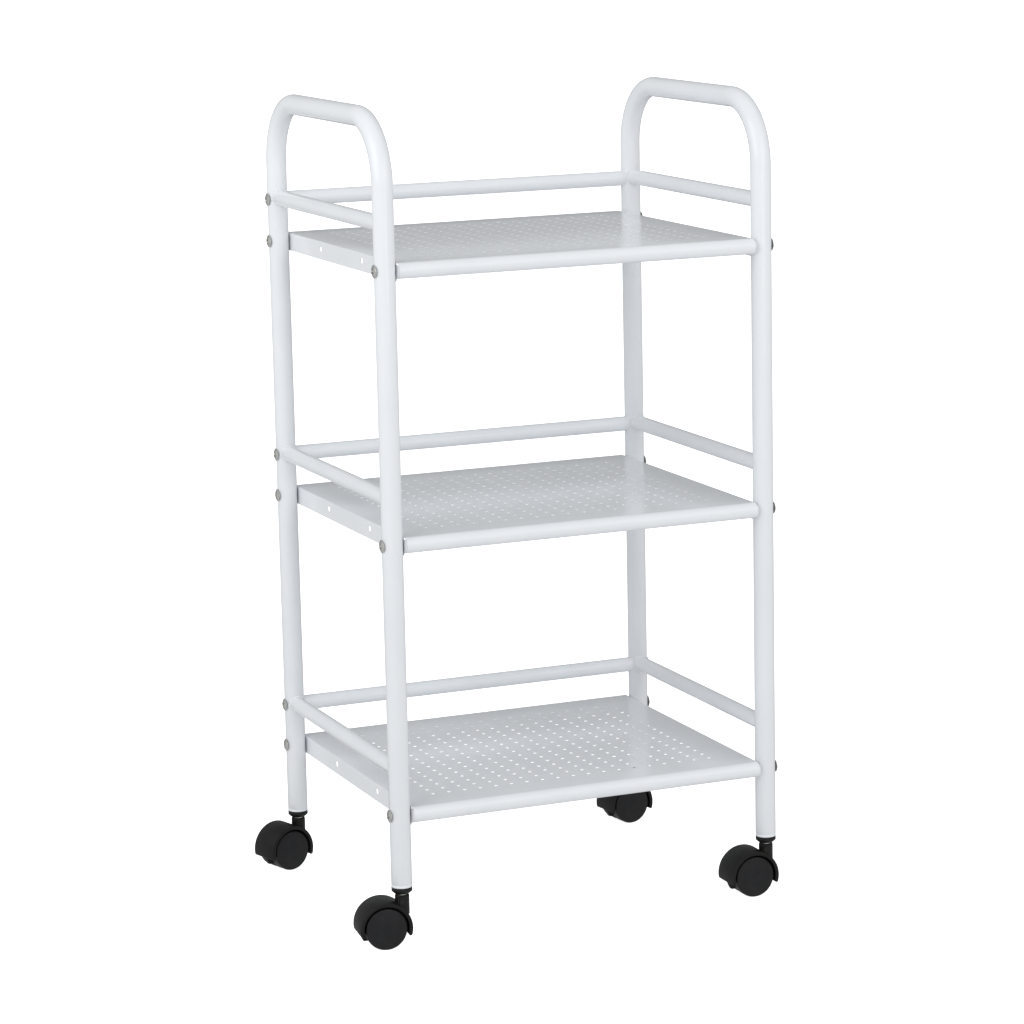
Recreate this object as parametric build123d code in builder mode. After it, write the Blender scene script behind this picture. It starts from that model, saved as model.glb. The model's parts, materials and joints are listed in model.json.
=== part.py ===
"""Rolling salon trolley: two bent-tube end frames, three perforated shelves, four twin-wheel casters.

Millimetres. +X is the trolley's right, +Y its back, +Z up. The floor is z = 0, and the origin is the
middle of the footprint on the floor, with every caster trailing the way it stands at rest.
"""
from build123d import *
import os

os.makedirs("parts", exist_ok=True)

# End frames and rails
LEG_SPAN_X = 483.0          # between the axes of the left and right legs
LEG_SPAN_Y = 375.5          # between the axes of the front and back legs
FRAME_X = 21.7              # the casters trail to the left, so the frame stands right of the origin
TUBE_R = 12.5
TUBE_WALL = 1.2
BEND_R = 77.0               # centreline radius of the two bends of an end frame
LEG_BOTTOM = 71.5
TOP_BAR_Z = 979.5           # axis of the top bar
RAIL_R = 9.5
RAIL_WALL = 1.0
RAIL_LEVELS = {"top": 860.0, "middle": 538.2, "bottom": 213.8}
BACK_RAIL_DROP = 2.0        # the back rails sit this much lower than the side rails
RAIL_NOTCH_GAP = 0.2        # where a back rail passes a side rail

# Shelves
SHELF_LEVELS = {"top": 815.3, "middle": 493.4, "bottom": 168.2}
SHEET = 0.8
SHELF_GAP = 0.1             # paint between a shelf flange and the leg
SHELF_BACK_Y = 198.5
FLANGE_HEIGHT = 22.0
SCREW_DROP = 9.25            # from a shelf's top to the screws and holes of its flanges
SHEET_BEND_R = 2.0
LIP_R = 9.6                 # half-round front lip
LIP_NOSE_Y = -201.5
LIP_END_GAP = 1.6           # from the end of the lip to the outside of the flange
LIP_RETURN = 5.0            # flat turned back under the lip
LIP_TAB_NOTCH = 2.5         # the flange's front tab starts this far below the shelf's top
HOLE_PITCH_X = 20.4
HOLE_PITCH_Y = 20.0
HOLE_COLUMNS = 19
HOLE_ROWS = 16
HOLE_R = 2.5
HOLE_FIELD_Y = 1.5          # middle of the perforated field
SIDE_HOLE_R = 3.5           # two accessory holes in each side flange
SIDE_HOLE_YS = (-77.0, 67.0)

# M6 fasteners
SCREW_R = 3.0
SCREW_HOLE_R = 3.25
HEAD_R = 7.75
HEAD_HEIGHT = 3.2
HEAD_DOME = 2.4             # the rounded part of the head
SCREW_LENGTH = 35.0
RECESS_WIDTH = 2.6
RECESS_REACH = 4.6
RECESS_DEPTH = 2.2
WASHER_R = 6.0
WASHER_THICKNESS = 1.2
NUT_R = 5.77                # across corners, 10 across flats
NUT_HEIGHT = 5.0
INSERT_LENGTH = 24.0
INSERT_GAP = 0.3            # between the insert and the leg

# Leg sockets and caster stems
SOCKET_DEPTH = 32.0
SOCKET_RIM = 5.0            # straight part of the collar
SOCKET_TAPER = 3.0
SOCKET_MOUTH_R = 9.5
STEM_R = 5.5
STEM_REACH = 26.0           # up into the socket
SHOULDER_R = 6.4
SHOULDER_HEIGHT = 1.5
SPIGOT_R = 4.0
SPIGOT_LENGTH = 13.0
SPIGOT_BEAD = 0.5           # the bead that snaps into the caster neck
RING_R = 6.0
GROOVE_R = 4.9
RING_PLAY = 0.1
RING_HEIGHT = 6.0
RING_SPLIT = 1.5
RING_Z = LEG_BOTTOM + 12

# Casters
WHEEL_R = 25.4
TRAIL = 24.0
HOOD_R = 32.0
HOOD_WALL = 4.4
HOOD_WIDTH = 40.4
HOOD_FRONT_ANGLE = -15.0    # the hood runs from here, over the top, to the rear angle
HOOD_REAR_ANGLE = 190.0
NECK_R = 8.7
NECK_TOP = 61.7
NECK_FOOT = 38.0
NECK_EDGE_R = 1.5
WEB = 6.0
WEB_FOOT = 9.0              # height of the web's lower edge
WHEEL_SIDE_GAP = 0.5        # between web and wheel
WHEEL_FACE_Y = 19.6         # edge of the wheel's outer face, from the caster's middle
WHEEL_DOME = 1.5
TREAD_EDGE_R = 2.4
AXLE_R = 3.0
AXLE_REACH = 15.0
HUB_R = 7.0
RIM_WALL = 3.2
WHEEL_DISC = 2.4
FIT = 0.05                  # radial clearance of a running fit
RUNNING_GAP = 0.35          # between other faces that move past each other

LEFT_X = FRAME_X - LEG_SPAN_X / 2
RIGHT_X = FRAME_X + LEG_SPAN_X / 2
FRONT_Y = -LEG_SPAN_Y / 2
BACK_Y = LEG_SPAN_Y / 2
SIDES = {"left": (LEFT_X, -1), "right": (RIGHT_X, 1)}       # leg axis, and which way is outward
SHELF_HALF = LEG_SPAN_X / 2 - TUBE_R - SHELF_GAP
TUBE_BORE_R = TUBE_R - TUBE_WALL

# Each caster: leg axis, and how far it is turned about the vertical
CASTERS = {
    "front_left": (LEFT_X, FRONT_Y, -7.0),
    "front_right": (RIGHT_X, FRONT_Y, 0.0),
    "back_left": (LEFT_X, BACK_Y, 17.0),
    "back_right": (RIGHT_X, BACK_Y, 8.0),
}


def save(part, name):
    """Label a finished piece and write it to its own STEP file."""
    part.label = name
    export_step(part, f"parts/{name}.step")


def end_frame(leg_x):
    """One tube bent into an upside-down U, drilled for the screws that cross its legs."""
    with BuildPart() as frame:
        with BuildLine(Plane.YZ.offset(leg_x)) as path:
            FilletPolyline(
                (FRONT_Y, LEG_BOTTOM),
                (FRONT_Y, TOP_BAR_Z),
                (BACK_Y, TOP_BAR_Z),
                (BACK_Y, LEG_BOTTOM),
                radius=BEND_R,
            )
        with BuildSketch(Plane.XY.offset(LEG_BOTTOM)):
            with Locations((leg_x, FRONT_Y)):
                Circle(TUBE_R)
                Circle(TUBE_BORE_R, mode=Mode.SUBTRACT)
        sweep(path=path)
        with BuildSketch(Plane.YZ.offset(leg_x)):
            shelf_screws = [(y, z - SCREW_DROP) for z in SHELF_LEVELS.values() for y in (FRONT_Y, BACK_Y)]
            rail_screws = [(BACK_Y, z - BACK_RAIL_DROP) for z in RAIL_LEVELS.values()]
            with Locations(*shelf_screws, *rail_screws):
                Circle(SCREW_HOLE_R)
        extrude(amount=TUBE_R, both=True, mode=Mode.SUBTRACT)
    return frame.part


def side_rail(leg_x, level):
    """A rail between the front and back legs of one end frame, its ends coped to the legs."""
    with BuildPart() as rail:
        with BuildSketch(Plane.XZ.offset(-BACK_Y)):
            with Locations((leg_x, level)):
                Circle(RAIL_R)
                Circle(RAIL_R - RAIL_WALL, mode=Mode.SUBTRACT)
        extrude(amount=LEG_SPAN_Y)
        with BuildSketch(Plane.XY.offset(level - RAIL_R)):
            with Locations((leg_x, FRONT_Y), (leg_x, BACK_Y)):
                Circle(TUBE_R)
        extrude(amount=2 * RAIL_R, mode=Mode.SUBTRACT)
    return rail.part


def back_rail(level, side_level):
    """A rail between the two back legs, its ends coped to them and notched round the side rails."""
    with BuildPart() as rail:
        with BuildSketch(Plane.YZ.offset(LEFT_X)):
            with Locations((BACK_Y, level)):
                Circle(RAIL_R)
                Circle(RAIL_R - RAIL_WALL, mode=Mode.SUBTRACT)
        extrude(amount=LEG_SPAN_X)
        with BuildSketch(Plane.XY.offset(level - RAIL_R)):
            with Locations((LEFT_X, BACK_Y), (RIGHT_X, BACK_Y)):
                Circle(TUBE_R)
        extrude(amount=2 * RAIL_R, mode=Mode.SUBTRACT)
        with BuildSketch(Plane.XZ.offset(-BACK_Y)):
            with Locations((LEFT_X, side_level), (RIGHT_X, side_level)):
                Circle(RAIL_R + RAIL_NOTCH_GAP)
        extrude(amount=LEG_SPAN_Y / 2, mode=Mode.SUBTRACT)
    return rail.part


def shelf():
    """A perforated tray with its top face at z = 0: flanges down at the sides and back, a rolled lip in front."""
    lip_y = LIP_NOSE_Y + LIP_R
    lip_half = SHELF_HALF - LIP_END_GAP
    pan_depth = SHELF_BACK_Y - lip_y
    with BuildPart() as tray:
        # The pan, outside and inside, open below and towards the lip
        with BuildSketch(Plane.XY.offset(-FLANGE_HEIGHT)):
            with Locations((FRAME_X, lip_y + pan_depth / 2)):
                Rectangle(2 * SHELF_HALF, pan_depth)
        extrude(amount=FLANGE_HEIGHT)
        top_edges = tray.edges().group_by(Axis.Z)[-1]
        fillet(top_edges.sort_by(Axis.Y)[1:], radius=SHEET_BEND_R)
        with BuildSketch(Plane.XY.offset(-FLANGE_HEIGHT)):
            with Locations((FRAME_X, SHELF_BACK_Y - SHEET - pan_depth / 2)):
                Rectangle(2 * (SHELF_HALF - SHEET), pan_depth)
        extrude(amount=FLANGE_HEIGHT - SHEET, mode=Mode.SUBTRACT)

        # The lip rolled from the front of the sheet
        with BuildSketch(Plane.YZ.offset(FRAME_X - lip_half)):
            with Locations((lip_y, -LIP_R)):
                Circle(LIP_R)
                Circle(LIP_R - SHEET, mode=Mode.SUBTRACT)
            with Locations((lip_y + LIP_R, -LIP_R)):
                Rectangle(2 * LIP_R, 2 * LIP_R, mode=Mode.SUBTRACT)
            with Locations((lip_y + LIP_RETURN / 2, -2 * LIP_R + SHEET / 2)):
                Rectangle(LIP_RETURN, SHEET)
        extrude(amount=2 * lip_half)

        # At each side the flange runs on as a tab beside the end of the lip, notched at the top
        for tab_x in (FRAME_X - SHELF_HALF, FRAME_X + SHELF_HALF - SHEET):
            with BuildSketch(Plane.YZ.offset(tab_x)):
                with Locations((lip_y, -LIP_R)):
                    Circle(LIP_R)
                with Locations((lip_y + LIP_R, -LIP_R)):
                    Rectangle(2 * LIP_R, 2 * LIP_R, mode=Mode.SUBTRACT)
                with Locations((lip_y, -LIP_R)):
                    Rectangle(2 * SHEET, 2 * LIP_R)
                with Locations((lip_y - LIP_R, 0)):
                    Rectangle(2 * (LIP_R + SHEET), 2 * LIP_TAB_NOTCH, mode=Mode.SUBTRACT)
            extrude(amount=SHEET)

        # Perforation, screw holes and the accessory holes of the side flanges
        with BuildSketch(Plane.XY):
            with Locations((FRAME_X, HOLE_FIELD_Y)):
                with GridLocations(HOLE_PITCH_X, HOLE_PITCH_Y, HOLE_COLUMNS, HOLE_ROWS):
                    Circle(HOLE_R)
        extrude(amount=-SHEET, mode=Mode.SUBTRACT)
        with BuildSketch(Plane.YZ.offset(FRAME_X)):
            with Locations((FRONT_Y, -SCREW_DROP), (BACK_Y, -SCREW_DROP)):
                Circle(SCREW_HOLE_R)
            with Locations(*[(y, -SCREW_DROP) for y in SIDE_HOLE_YS]):
                Circle(SIDE_HOLE_R)
        extrude(amount=SHELF_HALF + 1, both=True, mode=Mode.SUBTRACT)
    return tray.part


def screw():
    """A domed M6 screw along +X: the head's underside is at x = 0 and its cross recess faces -X."""
    dome_r = (HEAD_R**2 + HEAD_DOME**2) / (2 * HEAD_DOME)
    with BuildPart() as fastener:
        with BuildSketch(Plane.XY):
            with BuildLine():
                Line((-HEAD_HEIGHT, 0), (SCREW_LENGTH, 0))
                Polyline(
                    (SCREW_LENGTH, 0),
                    (SCREW_LENGTH, SCREW_R),
                    (0, SCREW_R),
                    (0, HEAD_R),
                    (HEAD_DOME - HEAD_HEIGHT, HEAD_R),
                )
                RadiusArc((-HEAD_HEIGHT, 0), (HEAD_DOME - HEAD_HEIGHT, HEAD_R), dome_r)
            make_face()
        revolve(axis=Axis.X)
        with BuildSketch(Plane.YZ.offset(-HEAD_HEIGHT)):
            Rectangle(2 * RECESS_REACH, RECESS_WIDTH)
            Rectangle(RECESS_WIDTH, 2 * RECESS_REACH)
        extrude(amount=RECESS_DEPTH, mode=Mode.SUBTRACT)
    return fastener.part


def washer():
    """A plain washer along +X from x = 0."""
    with BuildPart() as ring:
        with BuildSketch(Plane.YZ):
            Circle(WASHER_R)
            Circle(SCREW_HOLE_R, mode=Mode.SUBTRACT)
        extrude(amount=WASHER_THICKNESS)
    return ring.part


def nut():
    """A hexagon nut along +X from x = 0."""
    with BuildPart() as hexagon:
        with BuildSketch(Plane.YZ):
            RegularPolygon(NUT_R, 6)
            Circle(SCREW_R + FIT, mode=Mode.SUBTRACT)
        extrude(amount=NUT_HEIGHT)
    return hexagon.part


def rail_insert():
    """A threaded plug along +X from x = 0, pressed into the end of a back rail."""
    with BuildPart() as plug:
        with BuildSketch(Plane.YZ):
            Circle(RAIL_R - RAIL_WALL)
            Circle(SCREW_R + FIT, mode=Mode.SUBTRACT)
        extrude(amount=INSERT_LENGTH)
    return plug.part


def inward(x_from_leg, leg_x, side, y, z):
    """The place of a fastener that points from a leg towards the middle of the trolley."""
    turn = 0 if side < 0 else 180
    return Location((leg_x - side * x_from_leg, y, z), (0, 0, turn))


def leg_socket():
    """The plastic socket in the foot of a leg, on the z axis, with a tapered collar below the tube."""
    mouth = LEG_BOTTOM - SOCKET_RIM - SOCKET_TAPER
    with BuildPart() as socket:
        with BuildSketch(Plane.XZ):
            with BuildLine():
                Polyline(
                    (RING_R, mouth),
                    (SOCKET_MOUTH_R, mouth),
                    (TUBE_R, LEG_BOTTOM - SOCKET_RIM),
                    (TUBE_R, LEG_BOTTOM),
                    (TUBE_BORE_R, LEG_BOTTOM),
                    (TUBE_BORE_R, LEG_BOTTOM + SOCKET_DEPTH),
                    (RING_R, LEG_BOTTOM + SOCKET_DEPTH),
                    close=True,
                )
            make_face()
        revolve(axis=Axis.Z)
    return socket.part


def caster_stem():
    """The steel stem on the z axis: grooved for its grip ring above, a beaded spigot below."""
    top = LEG_BOTTOM + STEM_REACH
    shoulder_top = LEG_BOTTOM - SOCKET_RIM - SOCKET_TAPER
    shoulder_foot = shoulder_top - SHOULDER_HEIGHT
    foot = shoulder_foot - SPIGOT_LENGTH
    with BuildPart() as stem:
        with BuildSketch(Plane.XZ):
            with BuildLine():
                Polyline(
                    (0, foot),
                    (SPIGOT_R, foot),
                    (SPIGOT_R, foot + SPIGOT_BEAD),
                    (SPIGOT_R + SPIGOT_BEAD, foot + 3 * SPIGOT_BEAD),
                    (SPIGOT_R, foot + 5 * SPIGOT_BEAD),
                    (SPIGOT_R, shoulder_foot),
                    (SHOULDER_R, shoulder_foot),
                    (SHOULDER_R, shoulder_top),
                    (STEM_R, shoulder_top),
                    (STEM_R, RING_Z - RING_PLAY),
                    (GROOVE_R, RING_Z - RING_PLAY),
                    (GROOVE_R, RING_Z + RING_HEIGHT + RING_PLAY),
                    (STEM_R, RING_Z + RING_HEIGHT + RING_PLAY),
                    (STEM_R, top - 1),
                    (STEM_R - 1, top),
                    (0, top),
                    close=True,
                )
            make_face()
        revolve(axis=Axis.Z)
    return stem.part


def grip_ring():
    """The split spring ring that holds the stem in the socket."""
    with BuildPart() as ring:
        with BuildSketch(Plane.XY.offset(RING_Z)):
            Circle(RING_R)
            Circle(GROOVE_R + RING_PLAY, mode=Mode.SUBTRACT)
            with Locations((RING_R, 0)):
                Rectangle(RING_R, RING_SPLIT, mode=Mode.SUBTRACT)
        extrude(amount=RING_HEIGHT)
    return ring.part


def caster_body():
    """Neck, web and hood in one moulding, swivelling on the z axis and trailing towards -X."""
    axle_at = (-TRAIL, WHEEL_R)
    hood_inner_r = HOOD_R - HOOD_WALL
    hood_span = HOOD_REAR_ANGLE - HOOD_FRONT_ANGLE
    bead_z = LEG_BOTTOM - SOCKET_RIM - SOCKET_TAPER - SHOULDER_HEIGHT - SPIGOT_LENGTH
    with BuildPart() as body:
        # The neck, cleared for the wheels
        with BuildSketch(Plane.XY.offset(NECK_FOOT)):
            Circle(NECK_R)
        extrude(amount=NECK_TOP - NECK_FOOT)
        fillet(body.edges().group_by(Axis.Z)[-1], radius=NECK_EDGE_R)
        with BuildSketch(Plane.XZ):
            with Locations(axle_at):
                Circle(hood_inner_r)
        extrude(amount=HOOD_R, both=True, mode=Mode.SUBTRACT)

        # The hood over both wheels, with rounded ends
        with BuildSketch(Plane.XZ):
            with BuildLine():
                CenterArc(axle_at, HOOD_R, HOOD_FRONT_ANGLE, hood_span)
                CenterArc(axle_at, hood_inner_r, HOOD_FRONT_ANGLE, hood_span)
                for angle, way in ((HOOD_FRONT_ANGLE, -180), (HOOD_REAR_ANGLE, 180)):
                    tip = Vector(*axle_at) + Vector(HOOD_R - HOOD_WALL / 2, 0).rotate(Axis.Z, angle)
                    CenterArc(tip, HOOD_WALL / 2, angle, way)
            make_face()
        extrude(amount=HOOD_WIDTH / 2, both=True)

        # The web between the wheels, its foot clear of the floor
        with BuildSketch(Plane.XZ):
            with Locations(axle_at):
                Circle(HOOD_R - HOOD_WALL / 2)
            with Locations((-TRAIL, WEB_FOOT - HOOD_R)):
                Rectangle(2 * HOOD_R, 2 * HOOD_R, mode=Mode.SUBTRACT)
        extrude(amount=WEB / 2, both=True)

        # Bores for the axle and for the spigot with its bead
        with BuildSketch(Plane.XZ):
            with Locations(axle_at):
                Circle(AXLE_R)
        extrude(amount=WEB, both=True, mode=Mode.SUBTRACT)
        with BuildSketch(Plane.XY.offset(NECK_TOP)):
            Circle(SPIGOT_R + FIT)
        extrude(amount=bead_z - RUNNING_GAP - NECK_TOP, mode=Mode.SUBTRACT)
        with BuildSketch(Plane.XY.offset(bead_z - RUNNING_GAP)):
            Circle(SPIGOT_R + SPIGOT_BEAD + RUNNING_GAP)
        extrude(amount=6 * SPIGOT_BEAD + RUNNING_GAP, mode=Mode.SUBTRACT)
    return body.part


def caster_axle():
    """The steel pin through the web and both hubs."""
    with BuildPart() as axle:
        with BuildSketch(Plane.XZ):
            with Locations((-TRAIL, WHEEL_R)):
                Circle(AXLE_R)
        extrude(amount=AXLE_REACH, both=True)
        chamfer(axle.edges().filter_by(GeomType.CIRCLE), length=0.5)
    return axle.part


def caster_wheel(way):
    """One wheel, on the +Y (way = 1) or -Y (way = -1) side of the web, its closed face outward."""
    face = Plane((-TRAIL, 0, WHEEL_R), x_dir=(0, way, 0), z_dir=(way, 0, 0))
    inner_y = WEB / 2 + WHEEL_SIDE_GAP
    bore_end = AXLE_REACH + RUNNING_GAP
    floor_y = WHEEL_FACE_Y - WHEEL_DISC
    rim_r = WHEEL_R - RIM_WALL
    with BuildPart() as wheel:
        with BuildSketch(face):
            with BuildLine():
                Polyline(
                    (inner_y, rim_r),
                    (inner_y, WHEEL_R - TREAD_EDGE_R / 2),
                    (inner_y + TREAD_EDGE_R / 2, WHEEL_R),
                    (WHEEL_FACE_Y - TREAD_EDGE_R, WHEEL_R),
                )
                RadiusArc(
                    (WHEEL_FACE_Y - TREAD_EDGE_R, WHEEL_R),
                    (WHEEL_FACE_Y, WHEEL_R - TREAD_EDGE_R),
                    TREAD_EDGE_R,
                )
                TangentArc(
                    (WHEEL_FACE_Y + WHEEL_DOME, 0),
                    (WHEEL_FACE_Y, WHEEL_R - TREAD_EDGE_R),
                    tangent=(0, 1),
                )
                Polyline(
                    (WHEEL_FACE_Y + WHEEL_DOME, 0),
                    (bore_end, 0),
                    (bore_end, AXLE_R + FIT),
                    (inner_y, AXLE_R + FIT),
                    (inner_y, HUB_R),
                    (floor_y, HUB_R),
                    (floor_y, rim_r),
                    (inner_y, rim_r),
                )
            make_face()
        revolve(axis=Axis((-TRAIL, 0, WHEEL_R), (0, 1, 0)))
    return wheel.part


# End frames and rails
for side, (leg_x, outward) in SIDES.items():
    save(end_frame(leg_x), f"{side}_end_frame")
    for height, level in RAIL_LEVELS.items():
        save(side_rail(leg_x, level), f"{side}_{height}_side_rail")
for height, level in RAIL_LEVELS.items():
    save(back_rail(level - BACK_RAIL_DROP, level), f"{height}_back_rail")

# Shelves and the fasteners through the legs
tray = shelf()
for height, level in SHELF_LEVELS.items():
    save(tray.moved(Location((0, 0, level))), f"{height}_shelf")
    corners = [(leg_x, out, y, level - SCREW_DROP) for leg_x, out in SIDES.values() for y in (FRONT_Y, BACK_Y)]
    inner_face = TUBE_R + SHELF_GAP + SHEET
    for piece, start, name in (
        (screw(), -TUBE_R, "screws"),
        (washer(), inner_face, "washers"),
        (nut(), inner_face + WASHER_THICKNESS, "nuts"),
    ):
        group = [piece.moved(inward(start, *corner)) for corner in corners]
        save(Compound(children=group), f"{height}_shelf_{name}")

rail_ends = [
    (leg_x, out, BACK_Y, level - BACK_RAIL_DROP) for leg_x, out in SIDES.values() for level in RAIL_LEVELS.values()
]
for piece, start, name in ((screw(), -TUBE_R, "screws"), (rail_insert(), TUBE_R + INSERT_GAP, "inserts")):
    save(Compound(children=[piece.moved(inward(start, *end)) for end in rail_ends]), f"back_rail_{name}")

# Casters
caster_pieces = {
    "leg_socket": leg_socket(),
    "caster_stem": caster_stem(),
    "grip_ring": grip_ring(),
    "caster_body": caster_body(),
    "caster_axle": caster_axle(),
    "caster_front_wheel": caster_wheel(-1),
    "caster_back_wheel": caster_wheel(1),
}
for corner, (leg_x, leg_y, turn) in CASTERS.items():
    place = Location((leg_x, leg_y, 0), (0, 0, turn))
    for name, piece in caster_pieces.items():
        save(piece.moved(place), f"{corner}_{name}")
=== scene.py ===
"""Rolling salon trolley: the look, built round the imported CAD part. Metres, in the part's own frame."""

import json
import math
import random

import bmesh
import bpy
from mathutils import Matrix, Vector


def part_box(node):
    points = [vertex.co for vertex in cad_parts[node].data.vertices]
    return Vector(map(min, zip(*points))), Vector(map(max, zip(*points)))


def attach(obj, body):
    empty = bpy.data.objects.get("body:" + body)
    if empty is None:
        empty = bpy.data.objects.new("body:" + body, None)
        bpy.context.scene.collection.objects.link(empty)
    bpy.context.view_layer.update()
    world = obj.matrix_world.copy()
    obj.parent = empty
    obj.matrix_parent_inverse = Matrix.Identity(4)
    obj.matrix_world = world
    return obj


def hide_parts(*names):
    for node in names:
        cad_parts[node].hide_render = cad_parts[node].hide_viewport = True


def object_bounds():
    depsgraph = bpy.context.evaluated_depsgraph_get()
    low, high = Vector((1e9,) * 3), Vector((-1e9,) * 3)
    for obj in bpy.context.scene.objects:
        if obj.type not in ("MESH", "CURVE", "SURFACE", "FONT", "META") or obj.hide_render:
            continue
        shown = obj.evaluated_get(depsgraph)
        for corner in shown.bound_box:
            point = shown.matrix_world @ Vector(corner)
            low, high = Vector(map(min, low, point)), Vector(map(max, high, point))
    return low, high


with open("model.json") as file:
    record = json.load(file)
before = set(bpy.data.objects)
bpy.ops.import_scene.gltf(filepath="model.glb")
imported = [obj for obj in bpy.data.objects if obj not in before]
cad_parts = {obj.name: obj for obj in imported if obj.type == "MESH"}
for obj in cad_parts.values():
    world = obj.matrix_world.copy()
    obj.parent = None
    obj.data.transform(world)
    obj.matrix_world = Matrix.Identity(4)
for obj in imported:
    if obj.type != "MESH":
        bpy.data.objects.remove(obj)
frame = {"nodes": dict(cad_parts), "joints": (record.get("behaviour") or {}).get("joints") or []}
cad_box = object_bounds()

MM = 0.001
TURN = 2 * math.pi

# Frame tubes
BEND_R = 77 * MM            # centreline radius of the end frames' bends
TUBE_WALL = 1.2 * MM
BEND_FLAT = 0.02            # how much a bend flattens the tube
CRIMP_RISE = 3.0 * MM       # from a leg's foot up to the ring crimped into its socket
CRIMP_HALF = 0.5 * MM
CRIMP_SCALE = 0.975         # the tube's radius in the crimp, as a share of its radius elsewhere
RAIL_WALL = 1.0 * MM
WELD_R = 1.5 * MM
WELD_RIPPLES = 34
WELD_RIPPLE_DEPTH = 0.07    # as a share of the bead's radius
WELD_SWELL = 0.16           # how far a ripple may swell or shrink, as a share of its radius
TUBE_END_ROUND = 0.25 * MM
RAIL_STRAIGHT_MARGIN = 4 * MM   # from a leg's surface to the straight part of a rail

# Shelves, measured along the flat blank before it is folded
SHEET = 0.8 * MM
FLANGE_HEIGHT = 22.0 * MM
SCREW_DROP = 9.25 * MM      # from a shelf's top to the screws and holes of its flanges
SHEET_BEND_R = 1.6 * MM     # outside radius of the flange bends, 0.4 mm under the CAD's
LIP_R = 9.6 * MM
LIP_RETURN = 5.0 * MM
LIP_END_REACH = 0.55 * MM   # how far the rolled lip runs past the side folds, to its tabs
LIP_TAB_NOTCH = 2.5 * MM    # the flange's front tab starts this far below the shelf's top
HOLE_PITCH = (20.4 * MM, 20.0 * MM)
HOLE_COUNT = (19, 16)
HOLE_R = 2.5 * MM
HOLE_FIELD_Y = 1.5 * MM
HOLE_POINTS = 24
SIDE_HOLE_R = 3.5 * MM
SIDE_HOLE_YS = (-77 * MM, 67 * MM)
SCREW_HOLE_R = 3.25 * MM
EDGE_ROUND = 0.14 * MM      # paint-rounded edge of the sheet

# Fasteners
HEAD_R = 7.75 * MM
HEAD_HEIGHT = 3.2 * MM
HEAD_DOME = 2.4 * MM
SCREW_R = 3.0 * MM
SCREW_LENGTH = 35.0 * MM
THREAD_PITCH = 1.0 * MM
THREAD_DEPTH = 0.45 * MM
THREAD_START = 20 * MM      # from under the head
HEAD_SKIRT = 0.3 * MM
SCREW_EDGE_ROUND = 0.1 * MM
RECESS_REACH = 4.6 * MM
RECESS_HALF_WIDTH = 1.3 * MM
RECESS_DEPTH = 2.2 * MM

# Leg sockets
SOCKET_RIM = 5.0 * MM
SOCKET_TAPER = 3.0 * MM
SOCKET_MOUTH_R = 9.5 * MM
SOCKET_BORE_R = 6.0 * MM
SOCKET_EDGE = 0.35 * MM     # how far its corners are cut back

# Casters
HOOD_R = 32.0 * MM
HOOD_WALL = 4.4 * MM
HOOD_FRONT_ANGLE = -15.0
HOOD_REAR_ANGLE = 190.0
NECK_R = 8.7 * MM
NECK_TOP = 61.7 * MM
NECK_FOOT = 38.0 * MM
NECK_EDGE_R = 1.5 * MM
NECK_BORE_R = 4.05 * MM
NECK_BORE_DEPTH = 14 * MM
HOOD_EDGE_ROUND = 0.5 * MM
WEB_EDGE_ROUND = 0.3 * MM
WEB = 6.0 * MM
WEB_FOOT = 9.0 * MM
WHEEL_SIDE_GAP = 0.5 * MM
WHEEL_DOME = 1.5 * MM
TREAD_EDGE_R = 2.4 * MM
WHEEL_FACE_Y = 19.6 * MM    # edge of the wheel's outer face, from the caster's middle
AXLE_R = 3.0 * MM
AXLE_REACH = 15.0 * MM
FIT = 0.05 * MM
RUNNING_GAP = 0.35 * MM
HUB_R = 7.0 * MM
RIM_WALL = 3.2 * MM
WHEEL_DISC = 2.4 * MM

# Camera
CAMERA_AZIMUTH = -22.40
CAMERA_ELEVATION = 10.74
CAMERA_ROLL = -1.23
CAMERA_DISTANCE = 4.306
CAMERA_LENS = 121.97
CAMERA_SENSOR = 36
CAMERA_CLIP_END = 200
CAMERA_AIM = Vector((9.9 * MM, 0, -24.6 * MM))   # from the middle of the part's box

# Studio
STUDIO_WHITE = (0.98, 0.99, 1.0)
WORLD_BRIGHT_WAY = (-0.45, -0.88, -0.15)
WORLD_BRIGHT = 0.76
WORLD_DIM = 0.31
WORLD_EVEN_FROM = -0.1      # the surround is even this far round from its bright side, as a cosine
FLOOR_HALF = 60
FLOOR_GLOW = 0.9
FLOOR_LOW = (0.88, 0.88, 0.88)
FLOOR_HIGH = (0.92, 0.92, 0.92)
LIGHTS = (      # name, place, what it faces, width, height, watts
    ("key", (-2.0, -0.6, 1.8), (0, 0, 0.8), 1.8, 1.8, 18),
    ("fill", (0.9, -1.9, 1.5), (0, 0, 0.8), 1.5, 1.5, 5),
    ("stripe", (0.2, -3.6, 1.0), (0, 0, 0.6), 0.3, 2.6, 14),
)

HEIGHTS = ("top", "middle", "bottom")
SIDES = ("left", "right")
CORNERS = ("front_left", "front_right", "back_left", "back_right")


# ---------------------------------------------------------------- places, from the CAD

def middle(node):
    """The middle of a CAD node's box."""
    low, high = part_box(node)
    return (low + high) / 2


def size(node):
    """The size of a CAD node's box."""
    low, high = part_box(node)
    return high - low


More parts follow.
